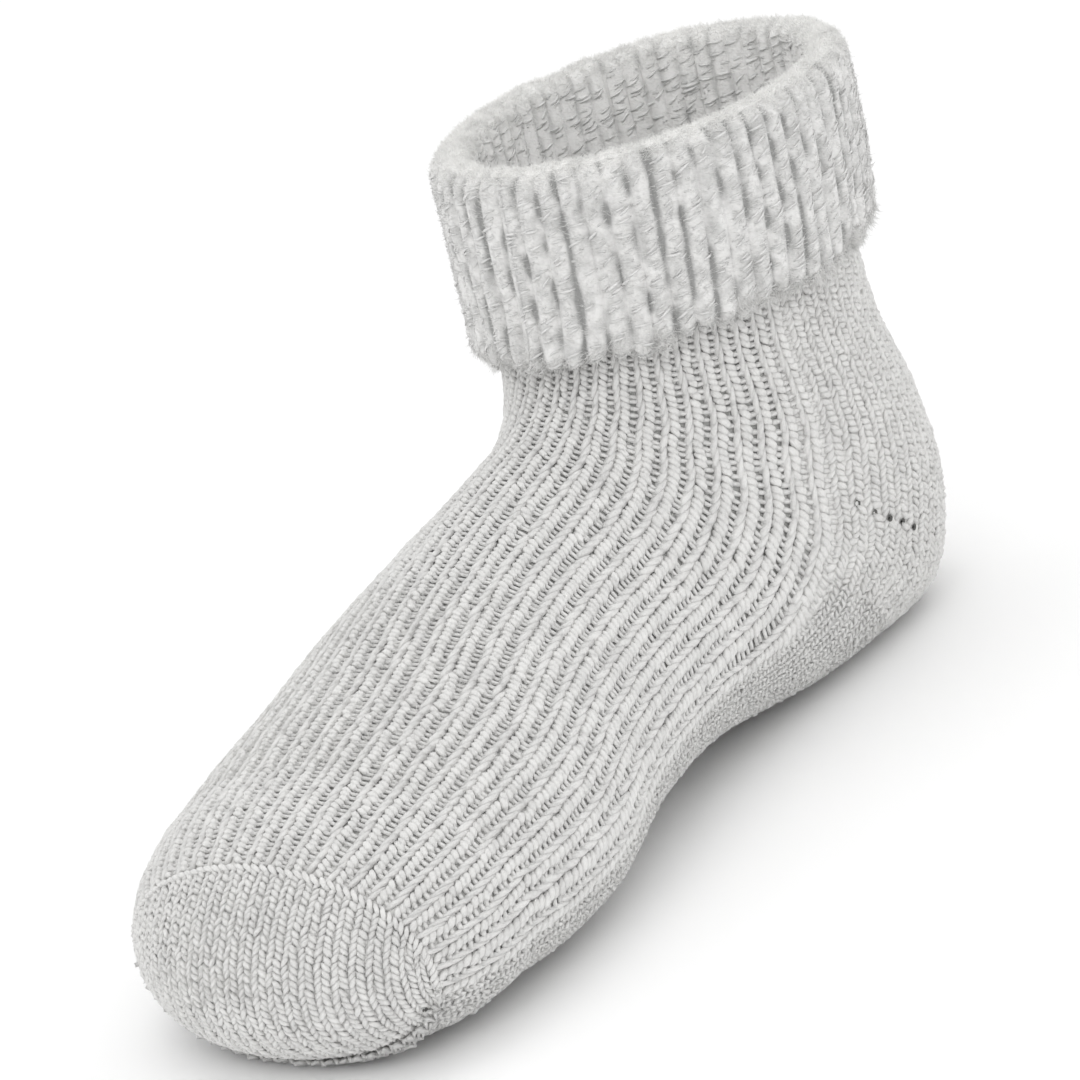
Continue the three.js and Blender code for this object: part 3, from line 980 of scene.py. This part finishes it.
# Painted shade: the pile's colour turns towards its dark grey in the rib grooves, more in some patches than in others,
# standing in for the shade between the ribs.
phase = CUFF_RIBS * 2 * np.pi * shares + 0.35 * np.sin(runs * 0.11 + 9 * np.sin(6.28 * shares))
valley = 1 - np.abs(np.cos(phase / 2)) ** 0.6
groove_shade_patches = np.clip(0.5 + 1.6 * lumps(shares * 2.0, 2.3 * runs), 0, 2)
cuff_body = add_piece(
    "cuff_pile", cuff_points, [cuff_faces], pile, 9.0 * valley ** 1.5 * groove_shade_patches - 1.6, cuff_yarn.reshape(-1, 3),
)
# The collar's inside takes the brightened copy of the yarn: painted light.
cuff_body.data.materials.append(lit_lining)
inside_rows = (np.arange(len(cuff_faces)) // cuff_points.shape[1]) >= int(
    (OUTER_RUN - 1) / PROFILE_LENGTH * (cuff_points.shape[0] - 1)
)
cuff_body.data.polygons.foreach_set("material_index", inside_rows.astype(np.int32))
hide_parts("turned_cuff")
print("girth", LEG_GIRTH, "profile", PROFILE_LENGTH, "outer", OUTER_RUN)

# %% [markdown]
# Brushing pulls the loops apart, but they still lie across each rib, one above the other. They are
# soft arcs from groove to groove. A finer fuzz of single hairs lies over them, longest at the fold
# and at the lower edge, and gives the cuff its blurred outline.

# %% Loops of the cuff
LOOP_PITCH = 1.0


def laid_on_cuff(share, run, width, height):
    place, side, along, out = cuff_frame(share, run)
    n = len(share)
    return dict(place=place, left=side, along=along, out=out, width=np.full(n, width), height=np.full(n, height))


def loops_between(name, start, stop, pitch, thick, material):
    rows = np.arange(start, stop, pitch)
    rib, row = np.meshgrid(np.arange(CUFF_RIBS), rows, indexing="ij")
    share = (rib.ravel() + dice.normal(0, 0.07, rib.size)) / CUFF_RIBS
    run = row.ravel() + dice.uniform(-0.4, 0.4, rib.size) * pitch
    arc = stitch_shape(
        bent((-0.38, -0.3, -0.7), (0.38, 0.4, -0.7), (0, 0, 0.7), 4), swell(thick, 4, 0.5), 3, (4.7, 1.35), 0.8,
    )
    yarn = copies(arc, laid_on_cuff(share, run, LEG_GIRTH / CUFF_RIBS, 1.35), 0.16, 0.2, (0.7, 1.2))
    add_piece(name, yarn[0], yarn[1], material, yarn[2], yarn[3])


loops_between("cuff_loops", 1.0, OUTER_RUN - 3, LOOP_PITCH, 0.3, hair)
loops_between("collar_loops", OUTER_RUN + 6, PROFILE_LENGTH - 8, 1.2 * LOOP_PITCH, 0.36, lit_lining)

# %% Hairs


def straight_hairs(name, place, direction, length, width, material):
    """The shortest hairs are single slivers, wide at the root and pointed at the tip."""
    count = len(place)
    half = unit(np.cross(direction, dice.normal(0, 1, (count, 3)))) * width[:, None] / 2
    points = np.stack([place - half, place + half, place + direction * length[:, None]], axis=1)
    tint = np.repeat(dice.normal(0, 1, count), 3)
    yarn = np.column_stack([np.zeros((3 * count, 2)), np.repeat(dice.uniform(0, 90, count), 3)])
    add_piece(name, points, [np.arange(3 * count).reshape(-1, 3)], material, tint, yarn)


def hairs(name, place, direction, bend, length, width, material):
    """Thin ribbons of three triangles: each starts at its place, leaves along its direction and
    bends over. Width shrinks from root to tip."""
    count = len(place)
    width_way = unit(np.cross(direction, dice.normal(0, 1, (count, 3))))
    root = place
    mid = place + direction * (length * 0.5)[:, None] + bend * (length * 0.12)[:, None]
    tip = place + direction * (length * 0.9)[:, None] + bend * (length * 0.45)[:, None]
    half = (width_way * width[:, None]) / 2
    points = np.stack([root - half, root + half, mid + half * 0.8, mid - half * 0.8, tip], axis=1)
    start = (np.arange(count) * 5)[:, None]
    quads = start + np.array([[0, 1, 2, 3]])
    tips = start + np.array([[3, 2, 4]])
    tint = np.repeat(dice.normal(0, 1, count), 5)
    run = np.tile(np.array([0, 0, 0.5, 0.5, 1.0]), count) * np.repeat(length, 5)
    yarn = np.column_stack([run, 0 * run, np.repeat(dice.uniform(0, 90, count), 5)])
    add_piece(name, points, [quads, tips], material, tint, yarn)


def cuff_hairs(name, count, start, stop, lean, longest, material, short=False):
    share = (dice.integers(0, CUFF_RIBS, count) + dice.normal(0, 0.19, count)) / CUFF_RIBS
    run = dice.uniform(start, stop, count)
    place, side, along, out = cuff_frame(share, run, -0.15)
    sign = dice.choice([-1.0, 1.0], count)[:, None]
    direction = unit(side * sign * 0.9 + along * dice.normal(0, 0.35, (count, 1)) + out * dice.normal(lean, 0.2, (count, 1)))
    bend = unit(dice.normal(0, 1, (count, 3))) * 0.8 - out * 0.6
    length = longest * dice.uniform(0.4, 1.0, count)
    width = dice.uniform(0.08, 0.16, count)
    if short:
        straight_hairs(name, place, direction, 0.7 * length, width, material)
    else:
        hairs(name, place, direction, bend, length, width, material)


cuff_hairs("cuff_hairs", 19500, 0.0, OUTER_RUN - 1, 0.2, 3.2, hair)
cuff_hairs("cuff_down", 38000, 0.0, OUTER_RUN - 1, 0.25, 2.6, hair, True)
cuff_hairs("collar_hairs", 8000, OUTER_RUN - 1, PROFILE_LENGTH - 8, 0.2, 3.0, lit_lining)
cuff_hairs("collar_down", 32000, OUTER_RUN - 1, PROFILE_LENGTH - 8, 0.25, 2.4, lit_lining, True)

# %% Frays of the lower edge and the fold
TUFTS = 150
count = 12000
tuft = dice.integers(0, TUFTS, count)
tuft_share, tuft_run = dice.uniform(0, 1, TUFTS), dice.uniform(0.5, 7, TUFTS)
tuft_size, tuft_way = dice.uniform(0.5, 1.3, TUFTS), dice.normal(0, 0.7, (TUFTS, 3))
loose = dice.uniform(0, 1, count) < 0.35
share = np.where(loose, dice.uniform(0, 1, count), tuft_share[tuft] + dice.normal(0, 0.0035, count))
run = np.abs(np.where(loose, dice.uniform(0, 6, count), tuft_run[tuft] + dice.normal(0, 0.9, count)))
place, side, along, out = cuff_frame(share, run)
common = np.where(loose[:, None], 0, tuft_way[tuft])
direction = unit(
    common - along * dice.uniform(0.0, 0.9, (count, 1)) + out * dice.uniform(0.1, 0.9, (count, 1))
    + side * dice.normal(0, 0.5, (count, 1))
)
length = dice.uniform(1.6, 3.4, count) * np.where(loose, 0.8, tuft_size[tuft])
hairs(
    "edge_frays", place, direction, unit(dice.normal(0, 1, (count, 3)) + common), length,
    dice.uniform(0.08, 0.15, count), hair,
)

count = 36000
share = dice.uniform(0, 1, count)
place, side, along, out = cuff_frame(share, OUTER_RUN + 1 + dice.normal(0, 3.2, count))
direction = unit(
    out * dice.uniform(0.1, 0.8, (count, 1)) + side * dice.normal(0, 0.8, (count, 1))
    + along * dice.normal(0, 0.5, (count, 1))
)
# The fold's hairs take the brightened copy of the yarn: painted light against their own shade.
straight_hairs("fold_hairs", place, direction, dice.uniform(0.7, 2.0, count), dice.uniform(0.08, 0.15, count), lit_lining)

# %% Short fibres of the body
count = 73000
on_top = dice.uniform(0, 1, count) < 0.45
turn = np.where(on_top, dice.normal(-0.35, 0.75, count), dice.uniform(0, 2 * np.pi, count))
t = np.where(on_top, dice.uniform(9.5, TIP_AT - 0.1, count), dice.uniform(CUFF_START, TIP_AT - 0.15, count))
place = outside(turn, t)
out = outward(turn, t)
free = place[:, 2] > 2.5
place, out = place[free], out[free]
direction = dice.normal(0, 1, place.shape)
direction = unit(direction - out * np.sum(direction * out, axis=1, keepdims=True))
direction = unit(direction + out * dice.uniform(0.05, 0.5, (len(place), 1)))
straight_hairs(
    "body_fibres", place - 0.15 * out, direction, dice.uniform(0.5, 1.5, len(place)),
    dice.uniform(0.06, 0.13, len(place)), knit,
)

# %% [markdown]
# The last cell adds up the triangles of what was made.

# %% Finish
print("triangles in all", sum(made.values()))
